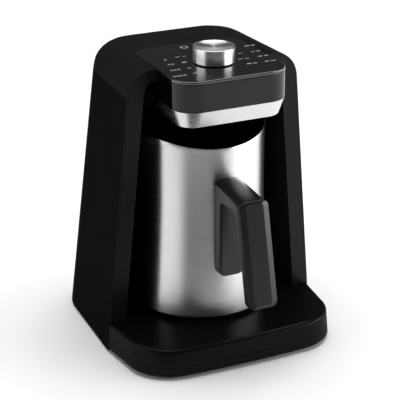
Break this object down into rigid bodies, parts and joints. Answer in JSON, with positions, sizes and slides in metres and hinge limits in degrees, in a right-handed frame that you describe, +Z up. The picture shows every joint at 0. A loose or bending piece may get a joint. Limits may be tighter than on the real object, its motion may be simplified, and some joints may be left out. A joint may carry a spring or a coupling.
{
  "type": "electric turkish coffee maker",
  "caption": "Compact electric Turkish coffee maker: satin black tapered arch body, heated base, gloss control head with silver trim and turn-and-push knob, and a lift-off steel pot.",
  "frame": {"origin": "on the table surface, under the middle of the machine's bounding box", "axes": "+Z up, the front with the pot's handle faces -Y, +X is to the right as the user looks at the front"},
  "size_m": [0.1884, 0.2308, 0.2521],
  "materials": {
    "satin_black": "satin",
    "alcove_black": "satin",
    "gloss_black": "high gloss",
    "handle_black": "satin",
    "silver_trim": "satin",
    "knob_silver": "spun",
    "steel": "polished, faintly brushed",
    "spreader": "cast",
    "plate_black": "heat-proof coating",
    "seal_rubber": "matte",
    "foot_rubber": "matte",
    "zinc": "plated",
    "heater_tube": "heat-tinted",
    "circuit_board": "varnished",
    "component_black": "moulded",
    "winding": "taped",
    "terminal_green": "moulded",
    "lead_red": "silicone",
    "ribbon_grey": "flat",
    "ceramic": "unglazed",
    "lens": "tinted clear",
    "plunger_white": "moulded"
  },
  "bodies": {
    "machine": {"body_shell": "satin_black", "niche_liner": "alcove_black", "rear_cover": "satin_black", "rear_screws": "zinc", "base_tray": "satin_black", "base_pan": "satin_black", "base_screws": "zinc", "feet": "foot_rubber", "hot_plate": "plate_black", "plate_seal": "seal_rubber", "heating_element": "heater_tube", "element_clamp": "zinc", "clamp_screws": "zinc", "thermostat": "ceramic", "power_board": "circuit_board", "relay": "component_black", "transformer": "winding", "capacitors": "component_black", "terminal_block": "terminal_green", "board_screws": "zinc", "heater_leads": "lead_red", "ribbon_cable": "ribbon_grey", "head_housing": "alcove_black", "head_fascia": "gloss_black", "trim_band": "silver_trim", "head_underside": "alcove_black", "underside_screws": "zinc", "top_panel": "gloss_black", "control_board": "circuit_board", "control_screws": "zinc", "touch_springs": "zinc", "encoder_body": "zinc", "foam_sensor": "component_black", "sensor_lens": "lens", "buzzer": "component_black", "cord_gland": "foot_rubber"},
    "pot": {"pot_body": "steel", "pot_base_disc": "spreader", "pot_bracket": "zinc", "handle_grip": "handle_black", "handle_cover": "handle_black", "handle_bolt": "zinc"},
    "plunger": {"encoder_plunger": "plunger_white"},
    "knob": {"encoder_shaft": "zinc", "knob_hub": "component_black", "knob_cap": "knob_silver"}
  },
  "joints": [
    {"name": "pot_pull", "type": "slide", "parent": "machine", "child": "pot", "axis": [0, -1, 0], "range_m": [0, 0.2]},
    {"name": "knob_push", "type": "slide", "parent": "machine", "child": "plunger", "axis": [0, 0, -1], "range_m": [0, 0.0005], "stiffness_N_per_m": 400, "springref_m": -0.004},
    {"name": "knob_turn", "type": "hinge", "parent": "plunger", "child": "knob", "pos_m": [0, -0.0237, 0.24], "axis": [0, 0, 1], "continuous": true}
  ]
}
